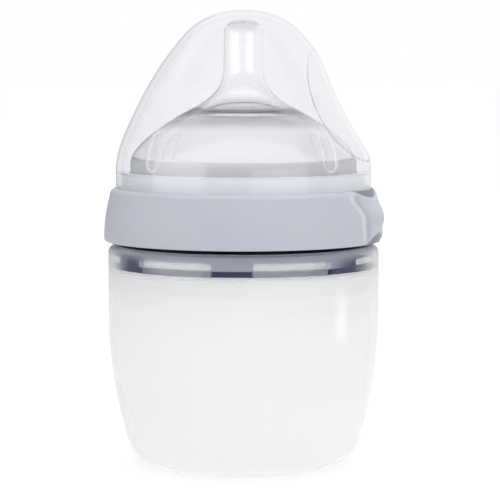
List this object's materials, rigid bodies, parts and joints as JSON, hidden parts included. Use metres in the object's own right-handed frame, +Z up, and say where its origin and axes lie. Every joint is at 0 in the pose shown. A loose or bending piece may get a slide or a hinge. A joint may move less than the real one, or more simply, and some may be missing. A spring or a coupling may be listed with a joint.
{
  "type": "baby bottle",
  "caption": "Wide-neck silicone baby bottle with an overmoulded neck ring, screw collar with a grip lug, clear nipple and a scooped dome cap.",
  "frame": {"origin": "centre of the foot, in the plane that the bottle stands on", "axes": "+Z up along the bottle's axis, +X towards the collar's grip lug and the cap's scoop"},
  "size_m": [0.0836, 0.083, 0.135],
  "materials": {
    "bottle_body": "milky translucent silicone, satin",
    "neck_ring": "moulded grey polypropylene, satin",
    "nipple": "clear silicone, glossy",
    "collar": "moulded light grey polypropylene, satin",
    "cap": "clear moulded plastic, polished"
  },
  "bodies": {
    "bottle": {"bottle_body": "bottle_body", "neck_ring": "neck_ring"},
    "nipple": {"nipple": "nipple"},
    "collar": {"collar": "collar"},
    "cap": {"cap": "cap"}
  },
  "joints": [
    {"name": "nipple_rise", "type": "slide", "parent": "bottle", "child": "nipple", "axis": [0, 0, 1], "range_m": [0, 0.0075]},
    {"name": "collar_turn", "type": "hinge", "parent": "nipple", "child": "collar", "pos_m": [0, 0, 0.0745], "axis": [0, 0, 1], "range_deg": [0, 540]},
    {"name": "cap_lift", "type": "slide", "parent": "collar", "child": "cap", "axis": [0, 0, 1], "range_m": [0, 0.056]}
  ],
  "couplings": [
    {"joint": "nipple_rise", "follows": "collar_turn", "m_per_rad": 0.00079577}
  ]
}
